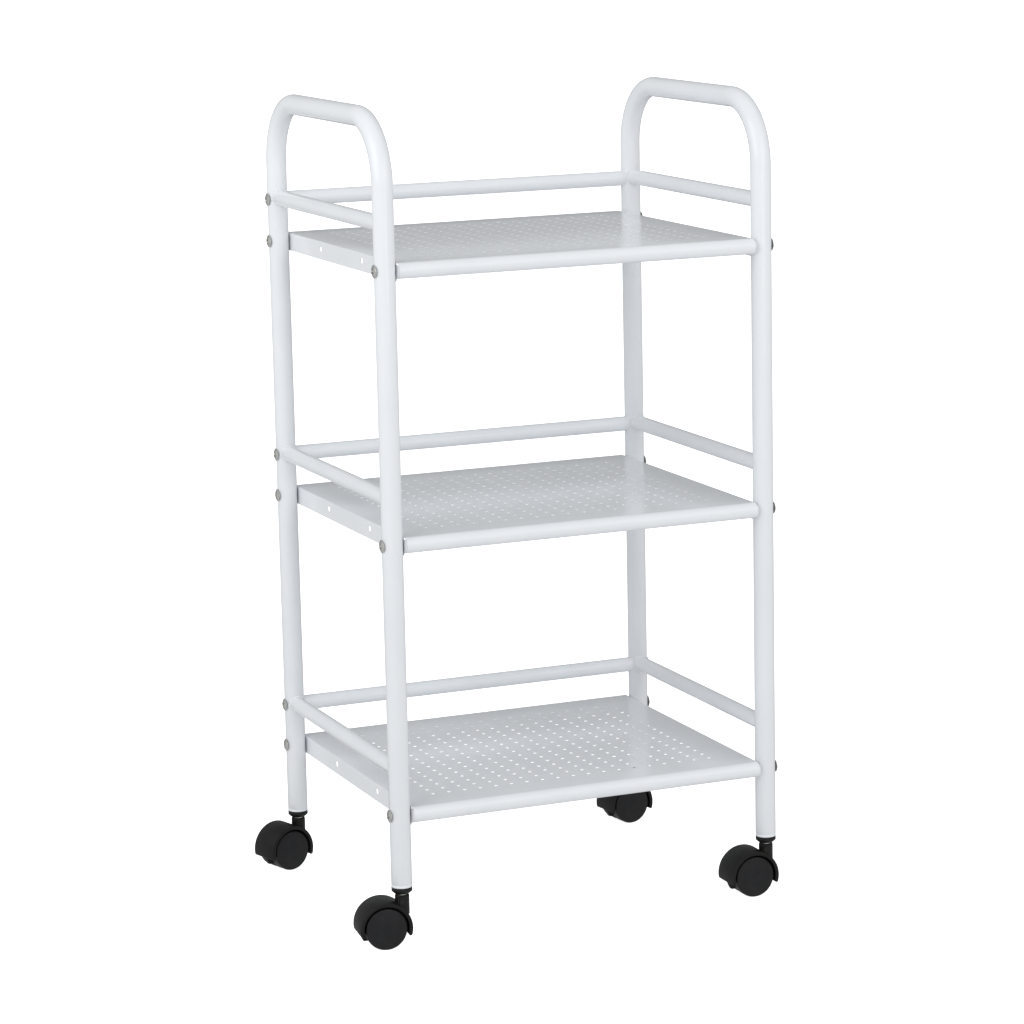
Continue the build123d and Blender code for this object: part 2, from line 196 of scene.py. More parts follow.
TUBE_R = size("left_end_frame").x / 2
LEG_X = {side: middle(f"{side}_end_frame").x for side in SIDES}
LEG_Y = size("left_end_frame").y / 2 - TUBE_R
LEG_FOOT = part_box("left_end_frame")[0].z
TOP_BAR_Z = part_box("left_end_frame")[1].z - TUBE_R
RAIL_R = size("left_top_side_rail").x / 2
SHELF_HALF = size("top_shelf").x / 2
SHELF_X = middle("top_shelf").x
SHELF_BACK_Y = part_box("top_shelf")[1].y
LIP_NOSE_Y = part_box("top_shelf")[0].y
LIP_Y = LIP_NOSE_Y + LIP_R
FLANGE_CELL = -LEG_Y - LIP_Y    # half the side of the patch round each flange hole
WHEEL_R = size("front_right_caster_front_wheel").z / 2
HOOD_HALF = size("front_right_caster_body").y / 2

joint_place = {joint["name"]: Vector(joint["pos_m"]) for joint in frame["joints"]}


def caster_place(corner):
    """Where a caster stands: its swivel axis on the floor, turned so that -X is the way it trails."""
    swivel = joint_place[f"{corner}_swivel"]
    trail = swivel - joint_place[f"{corner}_front_wheel_spin"]
    return Matrix.Translation((swivel.x, swivel.y, 0)) @ Matrix.Rotation(math.atan2(trail.y, trail.x), 4, "Z")


front_right_trail = joint_place["front_right_swivel"] - joint_place["front_right_front_wheel_spin"]
TRAIL = front_right_trail.xy.length


# ---------------------------------------------------------------- mesh tools

def new_object(name, mesh, material):
    """Put a mesh in the scene under a name, with one material."""
    piece = bpy.data.objects.new(name, mesh)
    bpy.context.scene.collection.objects.link(piece)
    mesh.materials.clear()
    mesh.materials.append(material)
    return piece


def mesh_from(bm, sharp_angle=35):
    """A mesh from a bmesh, shaded smooth except across edges sharper than the angle."""
    bmesh.ops.recalc_face_normals(bm, faces=bm.faces)
    mesh = bpy.data.meshes.new("piece")
    bm.to_mesh(mesh)
    bm.free()
    mesh.shade_smooth()
    mesh.set_sharp_from_angle(angle=math.radians(sharp_angle))
    return mesh


def baked(mesh, *modifiers):
    """The mesh with modifiers applied. Each modifier is (type, {setting: value})."""
    holder = bpy.data.objects.new("holder", mesh)
    bpy.context.scene.collection.objects.link(holder)
    for kind, settings in modifiers:
        modifier = holder.modifiers.new(kind.lower(), kind)
        for setting, value in settings.items():
            setattr(modifier, setting, value)
    result = bpy.data.meshes.new_from_object(holder.evaluated_get(bpy.context.evaluated_depsgraph_get()))
    bpy.data.objects.remove(holder)
    return result


def combined(mesh, operation, other):
    """The mesh united with another, or with the other cut away."""
    cutter = bpy.data.objects.new("cutter", other)
    bpy.context.scene.collection.objects.link(cutter)
    result = baked(mesh, ("BOOLEAN", {"operation": operation, "object": cutter, "solver": "EXACT"}))
    bpy.data.objects.remove(cutter)
    return result


def rounded(mesh, width, segments=2, angle=40):
    """The mesh with its sharp edges rounded."""
    return baked(
        mesh,
        (
            "BEVEL",
            {
                "width": width,
                "segments": segments,
                "limit_method": "ANGLE",
                "angle_limit": math.radians(angle),
                "harden_normals": True,
            },
        ),
    )


def joined(placed):
    """One mesh from (mesh, place) pairs, with their own normals kept."""
    holders = []
    for mesh, place in placed:
        holder = bpy.data.objects.new("holder", mesh.copy())
        holder.matrix_world = place
        bpy.context.scene.collection.objects.link(holder)
        holders.append(holder)
    first = holders[0]
    first.data.transform(first.matrix_world)
    first.matrix_world = Matrix()
    bpy.context.view_layer.update()
    with bpy.context.temp_override(active_object=first, selected_editable_objects=holders):
        bpy.ops.object.join()
    result = first.data
    bpy.data.objects.remove(first)
    return result


def bridge(bm, ring, other):
    """Quads between two closed rings of the same length."""
    for i in range(len(ring)):
        j = (i + 1) % len(ring)
        bm.faces.new((ring[i], ring[j], other[j], other[i]))


def arc(centre, radius, start, end, steps):
    """Points on an arc, as pairs, from one angle to another in degrees, both ends included."""
    angles = [math.radians(start + (end - start) * i / steps) for i in range(steps + 1)]
    return [(centre[0] + radius * math.cos(a), centre[1] + radius * math.sin(a)) for a in angles]


def lathe(profile, segments=64):
    """A solid turned about Z from (radius, height) points, from axis to axis or round a closed ring."""
    bm = bmesh.new()
    closed = profile[0][0] > 0 and profile[-1][0] > 0
    rings = []
    for radius, height in profile:
        if radius <= 0:
            rings.append([bm.verts.new((0, 0, height))])
            continue
        angles = [TURN * i / segments for i in range(segments)]
        rings.append([bm.verts.new((radius * math.cos(a), radius * math.sin(a), height)) for a in angles])
    pairs = list(zip(rings, rings[1:]))
    if closed:
        pairs.append((rings[-1], rings[0]))
    for ring, other in pairs:
        if len(ring) == 1 or len(other) == 1:
            tip, rim = (ring[0], other) if len(ring) == 1 else (other[0], ring)
            for i in range(segments):
                bm.faces.new((tip, rim[i], rim[(i + 1) % segments]))
        else:
            bridge(bm, ring, other)
    return bm


def prism(outline, half_depth):
    """A solid with this (x, z) outline, from y = -half_depth to half_depth."""
    bm = bmesh.new()
    near = [bm.verts.new((x, -half_depth, z)) for x, z in outline]
    far = [bm.verts.new((x, half_depth, z)) for x, z in outline]
    bridge(bm, near, far)
    bm.faces.new(near)
    bm.faces.new(far)
    return bm


# ---------------------------------------------------------------- materials

class Shader:
    """A material with a Principled shader, and short calls to wire its nodes."""

    def __init__(self, name, **settings):
        self.material = bpy.data.materials.new(name)
        self.material.use_nodes = True
        self.tree = self.material.node_tree
        self.principled = self.tree.nodes["Principled BSDF"]
        for socket, value in settings.items():
            self.principled.inputs[socket.replace("_", " ")].default_value = value
        self.place = self.tree.nodes.new("ShaderNodeTexCoord").outputs["Object"]

    def node(self, kind, inputs, **settings):
        """A node with its properties set and its inputs linked or filled."""
        made = self.tree.nodes.new(kind)
        for key, value in settings.items():
            setattr(made, key, value)
        for key, value in inputs.items():
            if isinstance(value, bpy.types.NodeSocket):
                self.tree.links.new(value, made.inputs[key])
            else:
                made.inputs[key].default_value = value
        return made

    def noise(self, scale, detail=2.0, roughness=0.5, vector=None):
        """Noise with this many grains to the metre."""
        inputs = {"Vector": vector or self.place, "Scale": scale, "Detail": detail, "Roughness": roughness}
        return self.node("ShaderNodeTexNoise", inputs).outputs["Fac"]

    def between(self, factor, low, high):
        """A number that runs from low to high as the factor goes over its middle range."""
        inputs = {"Value": factor, "From Min": 0.3, "From Max": 0.7, "To Min": low, "To Max": high}
        return self.node("ShaderNodeMapRange", inputs).outputs["Result"]

    def colours(self, factor, low, high):
        """A colour that runs from low to high as the factor goes over its middle range."""
        ramp = self.node("ShaderNodeValToRGB", {"Fac": factor})
        for stop, (position, colour) in zip(ramp.color_ramp.elements, ((0.3, low), (0.7, high))):
            stop.position = position
            stop.color = (*colour, 1)
        return ramp.outputs["Color"]

    def bump(self, height, distance, strength=1.0, normal=None):
        """A bump from a height field."""
        inputs = {"Height": height, "Distance": distance, "Strength": strength}
        if normal:
            inputs["Normal"] = normal
        return self.node("ShaderNodeBump", inputs).outputs["Normal"]

    def set(self, socket, value):
        """Feed one of the Principled shader's sockets."""
        self.tree.links.new(value, self.principled.inputs[socket])


def powder_coat(name, low, high):
    """Gloss white powder coat: a faint orange peel, and a tone that drifts a little."""
    paint = Shader(name, IOR=1.5)
    paint.set("Base Color", paint.colours(paint.noise(14, 3), low, high))
    paint.set("Roughness", paint.between(paint.noise(160, 3), 0.13, 0.19))
    peel = paint.bump(paint.noise(420, 2, 0.4), 0.00003, 0.35)
    paint.set("Normal", paint.bump(paint.noise(1900, 1), 0.000006, 0.2, peel))
    return paint.material


def black_plastic(name, low, high, roughness, grain, depth):
    """Moulded black plastic: a fine grain, handling marks and a slight drift of tone."""
    plastic = Shader(name, IOR=1.3)
    plastic.set("Base Color", plastic.colours(plastic.noise(90, 4), low, high))
    plastic.set("Roughness", plastic.between(plastic.noise(260, 4, 0.6), *roughness))
    flow = plastic.bump(plastic.noise(120, 2), 0.00006, 0.25)
    plastic.set("Normal", plastic.bump(plastic.noise(grain, 3, 0.6), depth, 0.6, flow))
    return plastic.material


def plated_steel(name, low, high, roughness):
    """Plated or sprung steel: fine streaks, and stains that change its shine."""
    steel = Shader(name, Metallic=1.0)
    stretched = steel.node("ShaderNodeMapping", {"Vector": steel.place, "Scale": (0.25, 1.0, 1.0)})
    steel.set("Base Color", steel.colours(steel.noise(220, 4), low, high))
    steel.set("Roughness", steel.between(steel.noise(700, 3, 0.6), *roughness))
    steel.set("Normal", steel.bump(steel.noise(2600, 2, 0.6, stretched.outputs["Vector"]), 0.00001, 0.35))
    return steel.material


materials = {
    "white_powder_coat": powder_coat("white_powder_coat", (0.815, 0.835, 0.86), (0.84, 0.858, 0.88)),
    "white_shelf_coat": powder_coat("white_shelf_coat", (0.80, 0.82, 0.845), (0.825, 0.843, 0.865)),
    "zinc": plated_steel("zinc", (0.44, 0.44, 0.42), (0.62, 0.62, 0.60), (0.16, 0.28)),
    "spring_steel": plated_steel("spring_steel", (0.30, 0.30, 0.31), (0.42, 0.42, 0.43), (0.30, 0.45)),
    "black_nylon": black_plastic(
        "black_nylon", (0.004, 0.004, 0.0035), (0.008, 0.008, 0.007), (0.38, 0.50), 2200, 0.00003
    ),
    "black_wheel": black_plastic(
        "black_wheel", (0.008, 0.008, 0.009), (0.014, 0.014, 0.015), (0.40, 0.48), 3000, 0.00002
    ),
    "black_socket": black_plastic(
        "black_socket", (0.008, 0.008, 0.008), (0.014, 0.014, 0.014), (0.32, 0.44), 1800, 0.00003
    ),
}


def add_piece(name, mesh, place, slot, body, *nodes):
    """Add a piece at its place: its finish, the body it rides on and the CAD nodes it stands for."""
    piece = new_object(name, mesh, materials[slot])
    piece.matrix_world = place
    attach(piece, body)
    if nodes:
        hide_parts(*nodes)
    return piece


# ---------------------------------------------------------------- tubes

def swept_tube(stations, segments=56):
    """A tube with its wall and end faces, through stations (centre, sideways, outward, outward squash)."""
    bm = bmesh.new()
    shells = []
    for radius in (TUBE_R, TUBE_R - TUBE_WALL):
        rings = []
        for centre, sideways, outward, squash in stations:
            ring = []
            for i in range(segments):
                a = TURN * i / segments
                offset = sideways * radius * math.cos(a) + outward * radius * math.sin(a) * squash
                ring.append(bm.verts.new(centre + offset))
            rings.append(ring)
        for ring, other in zip(rings, rings[1:]):
            bridge(bm, ring, other)
        shells.append(rings)
    outer, inner = shells
    bridge(bm, outer[0], inner[0])
    bridge(bm, outer[-1], inner[-1])
    return bm


def end_frame_stations():
    """Up the front leg, over the top bar and down the back leg, in the plane x = 0."""
    sideways = Vector((1, 0, 0))
    bends = (((-LEG_Y + BEND_R, TOP_BAR_Z - BEND_R), 180, 90), ((LEG_Y - BEND_R, TOP_BAR_Z - BEND_R), 90, 0))
    rises = ((0, 1), (CRIMP_RISE - CRIMP_HALF, 1), (CRIMP_RISE, CRIMP_SCALE), (CRIMP_RISE + CRIMP_HALF, 1))
    stations = []
    for rise, scale in rises:
        stations.append((Vector((0, -LEG_Y, LEG_FOOT + rise)), sideways * scale, Vector((0, -1, 0)), scale))
    steps = 28
    for (y, z), start, end in bends:
        for i in range(steps + 1):
            a = math.radians(start + (end - start) * i / steps)
            outward = Vector((0, math.cos(a), math.sin(a)))
            squash = 1 - BEND_FLAT * math.sin(math.pi * i / steps)
            stations.append((Vector((0, y, z)) + BEND_R * outward, sideways, outward, squash))
    for rise, scale in reversed(rises):
        stations.append((Vector((0, LEG_Y, LEG_FOOT + rise)), sideways * scale, Vector((0, 1, 0)), scale))
    return stations


def rail_mesh(length, segments=48):
    """A rail along Y, coped to two legs that stand `length` apart, with its middle at the origin."""
    bm = bmesh.new()
    near_end = length / 2 - TUBE_R - RAIL_STRAIGHT_MARGIN
    shells = []
    for radius in (RAIL_R, RAIL_R - RAIL_WALL):
        angles = [TURN * i / segments for i in range(segments)]
        section = [(radius * math.cos(a), radius * math.sin(a)) for a in angles]
        coped = [length / 2 - math.sqrt(TUBE_R**2 - x**2) for x, z in section]
        rings = [[bm.verts.new((x, -y, z)) for (x, z), y in zip(section, coped)]]
        for y in (-near_end, near_end):
            rings.append([bm.verts.new((x, y, z)) for x, z in section])
        rings.append([bm.verts.new((x, y, z)) for (x, z), y in zip(section, coped)])
        for ring, other in zip(rings, rings[1:]):
            bridge(bm, ring, other)
        shells.append(rings)
    outer, inner = shells
    bridge(bm, outer[0], inner[0])
    bridge(bm, outer[-1], inner[-1])
    return mesh_from(bm)


def weld_mesh(seed):
    """A closed, rippled weld bead where a rail along +Y starts at a leg on the z axis."""
    rng = random.Random(seed)
    bm = bmesh.new()
    steps = 4 * WELD_RIPPLES
    section_points = 10
    swell = [1 + WELD_SWELL * rng.uniform(-1, 1) for _ in range(WELD_RIPPLES)]
    rings = []
    for i in range(steps):
        a = TURN * i / steps
        x = RAIL_R * math.cos(a)
        y = math.sqrt(TUBE_R**2 - x**2)
        centre = Vector((x, y, RAIL_R * math.sin(a)))
        rise = RAIL_R * math.sin(a)
        along = Vector((-rise, x * rise / y, RAIL_R * math.cos(a))).normalized()
        leg_normal = Vector((x, y, 0)).normalized()
        across = along.cross(leg_normal).normalized()
        ripple = 1 - WELD_RIPPLE_DEPTH + WELD_RIPPLE_DEPTH * math.cos(TURN * WELD_RIPPLES * i / steps)
        radius = WELD_R * ripple * swell[i * WELD_RIPPLES // steps]
        ring = []
        for k in range(section_points):
            b = TURN * k / section_points
            ring.append(bm.verts.new(centre + radius * (math.cos(b) * leg_normal + math.sin(b) * across)))
        rings.append(ring)
    for i in range(steps):
        bridge(bm, rings[i], rings[(i + 1) % steps])
    return mesh_from(bm, 80)


def build_tubes():
    """The two end frames with their welds, the side rails and the back rails."""
    frame_mesh = rounded(mesh_from(swept_tube(end_frame_stations())), TUBE_END_ROUND)
    side_mesh = rail_mesh(2 * LEG_Y)
    back_mesh = rail_mesh(LEG_X["right"] - LEG_X["left"])
    coat = "white_powder_coat"
    weld_seed = 1
    for side in SIDES:
        place = Matrix.Translation((LEG_X[side], 0, 0))
        add_piece(f"{side}_bent_tube", frame_mesh.copy(), place, coat, "root", f"{side}_end_frame")
        for height in HEIGHTS:
            node = f"{side}_{height}_side_rail"
            place = Matrix.Translation(middle(node))
            add_piece(f"{side}_{height}_rail", side_mesh.copy(), place, coat, "root", node)
            for end, y, turn in (("front", -LEG_Y, 0), ("back", LEG_Y, math.pi)):
                place = Matrix.Translation((LEG_X[side], y, middle(node).z)) @ Matrix.Rotation(turn, 4, "Z")
                add_piece(f"{side}_{height}_weld_{end}", weld_mesh(weld_seed), place, coat, "root")
                weld_seed += 1
    for height in HEIGHTS:
        node = f"{height}_back_rail"
        place = Matrix.Translation(middle(node)) @ Matrix.Rotation(-math.pi / 2, 4, "Z")
        add_piece(f"{height}_rear_rail", back_mesh.copy(), place, coat, "root", node)


# ---------------------------------------------------------------- shelves

SIDE_FOLD = SHELF_HALF - SHEET_BEND_R
BACK_FOLD = SHELF_BACK_Y - SHEET_BEND_R
BEND_LENGTH = SHEET_BEND_R * math.pi / 2
FLANGE_FLAT = FLANGE_HEIGHT - SHEET_BEND_R
LIP_LENGTH = LIP_R * math.pi


def folded(across, along):
    """Where a point of the flat blank lies once the sheet is folded, top face at z = 0."""
    x, y, z = across, along, 0.0
    on_lip = along < LIP_Y and abs(across) < SIDE_FOLD + BEND_LENGTH
    over = abs(across) - SIDE_FOLD
    if over > 0 and not on_lip:
        turn = min(over / SHEET_BEND_R, math.pi / 2)
        x = math.copysign(SIDE_FOLD + SHEET_BEND_R * math.sin(turn), across)
        z = -SHEET_BEND_R * (1 - math.cos(turn)) - max(over - BEND_LENGTH, 0)
    over = along - BACK_FOLD
    if over > 0:
        turn = min(over / SHEET_BEND_R, math.pi / 2)
        y = BACK_FOLD + SHEET_BEND_R * math.sin(turn)
        z = -SHEET_BEND_R * (1 - math.cos(turn)) - max(over - BEND_LENGTH, 0)
    over = LIP_Y - along
    if on_lip:
        turn = min(over / LIP_R, math.pi)
        y = LIP_Y - LIP_R * math.sin(turn) + max(over - LIP_LENGTH, 0)
        z = -LIP_R * (1 - math.cos(turn))
    return x, y, z


class Blank:
    """Faces on the flat blank that share their corners, folded as they are made."""

    def __init__(self):
        self.bm = bmesh.new()
        self.corners = {}

    def corner(self, point):
        key = (round(point[0] * 1e7), round(point[1] * 1e7))
        if key not in self.corners:
            self.corners[key] = self.bm.verts.new(folded(*point))
        return self.corners[key]

    def face(self, points):
        self.bm.faces.new([self.corner(point) for point in points])

    def quads(self, xs, ys):
        """A grid of faces over these lines."""
        for x0, x1 in zip(xs, xs[1:]):
            for y0, y1 in zip(ys, ys[1:]):
                self.face([(x0, y0), (x1, y0), (x1, y1), (x0, y1)])

    def patch(self, centre, half_x, half_y, radius):
        """A rectangle with a round hole, as four faces that meet at its diagonals."""
        cx, cy = centre
        ways = ((1, -1), (1, 1), (-1, 1), (-1, -1))
        corners = [(cx + across * half_x, cy + along * half_y) for across, along in ways]
        for side in range(4):
            start = 90 * side - 45
            edge = arc(centre, radius, start, start + 90, HOLE_POINTS // 4)
            self.face(edge + [corners[(side + 1) % 4], corners[side]])


def steps_between(start, end, count):
    """Evenly spaced values, both ends included."""
    return [start + (end - start) * i / count for i in range(count + 1)]


def shelf_mesh():
    """One perforated tray, cut as a flat blank, folded, thickened and edge-rounded."""
    blank = Blank()
    half_x, half_y = HOLE_PITCH[0] / 2, HOLE_PITCH[1] / 2
    field_x = HOLE_COUNT[0] * half_x
    field_y = HOLE_COUNT[1] * half_y
    columns = steps_between(-field_x, field_x, HOLE_COUNT[0])
    rows = steps_between(HOLE_FIELD_Y - field_y, HOLE_FIELD_Y + field_y, HOLE_COUNT[1])
    for x in columns[:-1]:
        for y in rows[:-1]:
            blank.patch((x + half_x, y + half_y), half_x, half_y, HOLE_R)

    # Plain borders of the top face, as far as the folds
    side_holes = [(y, SIDE_HOLE_R) for y in SIDE_HOLE_YS]
    flange_holes = [(-LEG_Y, SCREW_HOLE_R), *side_holes, (LEG_Y, SCREW_HOLE_R)]
    cuts = []
    for y, _ in flange_holes:
        cuts += [y - FLANGE_CELL, y + FLANGE_CELL]
    cuts.append(BACK_FOLD)
    for way in (-1, 1):
        edge = way * field_x
        fold = way * SIDE_FOLD
        inside = [(edge, y) for y in rows]
        outside = [(fold, y) for y in cuts if rows[0] < y < rows[-1]]
        front = [(fold, y) for y in cuts if y < rows[0]]
        back = [(fold, y) for y in cuts if y > rows[-1]]
        blank.face([(edge, LIP_Y)] + front + [(fold, rows[0]), (edge, rows[0])])
        blank.face(inside[::-1] + [(fold, rows[0])] + outside + [(fold, rows[-1])])
        blank.face([(edge, rows[-1]), (fold, rows[-1])] + back + [(edge, BACK_FOLD)])
    blank.face([(x, rows[0]) for x in columns] + [(field_x, LIP_Y), (-field_x, LIP_Y)])
    blank.face([(x, rows[-1]) for x in columns] + [(field_x, BACK_FOLD), (-field_x, BACK_FOLD)])

    # Back flange and front lip
    across = [-SIDE_FOLD, -field_x, field_x, SIDE_FOLD]
    back = steps_between(BACK_FOLD, BACK_FOLD + BEND_LENGTH, 6)
    blank.quads(across, back + [back[-1] + FLANGE_FLAT])
    lip = steps_between(LIP_Y, LIP_Y - LIP_LENGTH, 36)
    lip.append(lip[-1] - LIP_RETURN)
    blank.quads(across, lip)
    for way in (-1, 1):
        blank.quads([way * SIDE_FOLD, way * (SIDE_FOLD + LIP_END_REACH)], lip[1:])

    # Side flanges, each with its four holes
    hole_depth = SIDE_FOLD + BEND_LENGTH + SCREW_DROP - SHEET_BEND_R
    side_lines = sorted(cuts + [rows[0], rows[-1]])
    for way in (-1, 1):
        bend = [way * s for s in steps_between(SIDE_FOLD, SIDE_FOLD + BEND_LENGTH, 6)]
        blank.quads(bend, side_lines)
        flat = SIDE_FOLD + BEND_LENGTH - SHEET_BEND_R
        above = [bend[-1], way * (flat + LIP_TAB_NOTCH), way * (hole_depth - FLANGE_CELL)]
        below = [way * (hole_depth + FLANGE_CELL), way * (flat + 2 * LIP_R), way * (flat + FLANGE_HEIGHT)]
        holed = {round((y - FLANGE_CELL) / MM, 3): (y, r) for y, r in flange_holes}
        for y0, y1 in zip(side_lines, side_lines[1:]):
            hole = holed.get(round(y0 / MM, 3))
            if hole is None:
                blank.quads(above + below, [y0, y1])
                continue
            blank.quads(above, [y0, y1])
            blank.quads(below, [y0, y1])
            blank.patch((way * hole_depth, hole[0]), FLANGE_CELL, FLANGE_CELL, hole[1])

        # The flange's front tab, beside the end of the lip
        notch_angle = 180 - math.degrees(math.asin(1 - LIP_TAB_NOTCH / LIP_R))
        front = [(way * (flat - z), y) for y, z in arc((LIP_Y, -LIP_R), LIP_R, notch_angle, 270, 24)]
        blank.face(front + [(depth, LIP_Y) for depth in (below[0], above[2], above[1])])

    mesh = mesh_from(blank.bm)
    top = max(mesh.polygons, key=lambda face: face.center.z - abs(face.center.x) - abs(face.center.y))
    if top.normal.z < 0:
        mesh.flip_normals()
    solid = baked(mesh, ("SOLIDIFY", {"thickness": SHEET, "offset": -1, "use_even_offset": True}))
    return rounded(solid, EDGE_ROUND, 2, 50)


def build_shelves():
    """The three trays."""
    tray = shelf_mesh()
    for height in HEIGHTS:
        node = f"{height}_shelf"
        place = Matrix.Translation((SHELF_X, 0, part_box(node)[1].z))
        add_piece(f"{height}_tray", tray.copy(), place, "white_shelf_coat", "root", node)


# ---------------------------------------------------------------- fasteners

def screw_mesh():
    """A screw up the z axis, head below z = 0 with its cross recess facing down."""
    dome_r = (HEAD_R**2 + HEAD_DOME**2) / (2 * HEAD_DOME)
    dome_z = dome_r - HEAD_HEIGHT
    edge = math.degrees(math.asin(HEAD_R / dome_r))
    profile = [(0, -HEAD_HEIGHT)] + arc((0, dome_z), dome_r, -90, -90 + edge, 10)[1:]
    profile += [(HEAD_R, -HEAD_SKIRT), (HEAD_R - HEAD_SKIRT, 0), (SCREW_R, 0)]
    root_r = SCREW_R - THREAD_DEPTH
    z = THREAD_START
    profile.append((SCREW_R, z))
    while z < SCREW_LENGTH - 2 * THREAD_PITCH:
        profile.append((root_r, z + 0.5 * THREAD_PITCH))
        profile.append((SCREW_R, z + 0.9 * THREAD_PITCH))
        profile.append((SCREW_R, z + THREAD_PITCH))
        z += THREAD_PITCH
    profile += [(root_r, SCREW_LENGTH), (0, SCREW_LENGTH)]
    body = mesh_from(lathe(profile, 48))
    for turn in (0, math.pi / 2):
        slot = bmesh.new()
        top = -HEAD_HEIGHT - 0.5 * MM
        low, high = (RECESS_REACH, RECESS_HALF_WIDTH), (RECESS_REACH * 0.45, RECESS_HALF_WIDTH * 0.7)
        rings = []
        for (x, y), z in ((low, top), (low, -HEAD_HEIGHT), (high, RECESS_DEPTH - HEAD_HEIGHT)):
            rings.append([slot.verts.new(p) for p in ((x, y, z), (-x, y, z), (-x, -y, z), (x, -y, z))])
        bridge(slot, rings[0], rings[1])
        bridge(slot, rings[1], rings[2])
        slot.faces.new(rings[0])
        slot.faces.new(rings[2])
        cutter = mesh_from(slot)
        cutter.transform(Matrix.Rotation(turn, 4, "Z"))
        body = combined(body, "DIFFERENCE", cutter)
    return rounded(body, SCREW_EDGE_ROUND, 2, 30)


def inward(side, y, z, roll):
    """The place of a screw whose head sits on the outside of a leg and that points inward."""
    way = 1 if side == "left" else -1
    at = Vector((LEG_X[side] - way * TUBE_R, y, z))
    turn = Matrix.Rotation(way * math.pi / 2, 4, "Y")
    return Matrix.Translation(at) @ turn @ Matrix.Rotation(roll, 4, "Z")


def build_screws():
    """Four screws to a shelf and six for the back rails, each turned a different way."""
    rng = random.Random(7)
    screw = screw_mesh()
    for height in HEIGHTS:
        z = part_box(f"{height}_shelf")[1].z - SCREW_DROP
        places = [inward(side, y, z, rng.uniform(0, TURN)) for side in SIDES for y in (-LEG_Y, LEG_Y)]
        group = joined([(screw, place) for place in places])
        add_piece(f"{height}_tray_screws", group, Matrix(), "zinc", "root", f"{height}_shelf_screws")
    places = []
    for side in SIDES:
        for height in HEIGHTS:
            places.append(inward(side, LEG_Y, middle(f"{height}_back_rail").z, rng.uniform(0, TURN)))
    group = joined([(screw, place) for place in places])
    add_piece("rear_rail_screws", group, Matrix(), "zinc", "root", "back_rail_screws")


# ---------------------------------------------------------------- casters

def collar_mesh():
    """The leg socket: a tapered collar under the tube and a plug inside it."""
    foot = LEG_FOOT - SOCKET_RIM - SOCKET_TAPER
    depth = size("front_right_leg_socket").z
    plug_r = TUBE_R - TUBE_WALL
    profile = [
        (SOCKET_BORE_R, foot),
        (SOCKET_MOUTH_R - SOCKET_EDGE, foot),
        (SOCKET_MOUTH_R, foot + SOCKET_EDGE),
        (TUBE_R - SOCKET_EDGE, LEG_FOOT - SOCKET_RIM - SOCKET_EDGE),
        (TUBE_R, LEG_FOOT - SOCKET_RIM),
        (TUBE_R, LEG_FOOT - SOCKET_EDGE),
        (TUBE_R - SOCKET_EDGE, LEG_FOOT),
        (plug_r, LEG_FOOT),
        (plug_r, foot + depth),
        (SOCKET_BORE_R, foot + depth),
    ]
    return mesh_from(lathe(profile, 72), 50)


def hood_outline():
    """The hood seen from the side: two arcs about the axle, joined by round ends."""
    axle = Vector((-TRAIL, WHEEL_R))
    outline = []
    for radius, start, end in (
        (HOOD_R, HOOD_FRONT_ANGLE, HOOD_REAR_ANGLE),
        (HOOD_R - HOOD_WALL, HOOD_REAR_ANGLE, HOOD_FRONT_ANGLE),
    ):
        outline += arc(axle, radius, start, end, 96)
        turn = 0 if end > start else 180
        a = math.radians(end)
        tip = axle + (HOOD_R - HOOD_WALL / 2) * Vector((math.cos(a), math.sin(a)))
        outline += arc(tip, HOOD_WALL / 2, end + turn, end + turn + 180, 8)[1:-1]
    return outline


def caster_body_mesh():
    """Neck, hood and web in one moulding, on the z axis and trailing towards -X."""
    hood = rounded(mesh_from(prism(hood_outline(), HOOD_HALF), 50), HOOD_EDGE_ROUND, 3, 60)

    clear_r = HOOD_R - HOOD_WALL / 2
    foot_angle = math.degrees(math.asin((WHEEL_R - WEB_FOOT) / clear_r))
    web_outline = arc((-TRAIL, WHEEL_R), clear_r, -foot_angle, 180 + foot_angle, 72)
    web = rounded(mesh_from(prism(web_outline, WEB / 2)), WEB_EDGE_ROUND)

    edge = arc((NECK_R - NECK_EDGE_R, NECK_TOP - NECK_EDGE_R), NECK_EDGE_R, 0, 90, 6)
    neck = mesh_from(lathe([(0, NECK_FOOT), (NECK_R, NECK_FOOT)] + edge + [(0, NECK_TOP)], 64))
    clearing = mesh_from(prism(arc((-TRAIL, WHEEL_R), clear_r, 0, 357, 119), 2 * HOOD_R), 50)
    neck = combined(neck, "DIFFERENCE", clearing)

    body = combined(combined(hood, "UNION", web), "UNION", neck)
    low, high = NECK_TOP - NECK_BORE_DEPTH, NECK_TOP + MM
    bore = mesh_from(lathe([(0, low), (NECK_BORE_R, low), (NECK_BORE_R, high), (0, high)], 48))
    body = combined(body, "DIFFERENCE", bore)
    body.shade_smooth()
    body.set_sharp_from_angle(angle=math.radians(35))
    return body


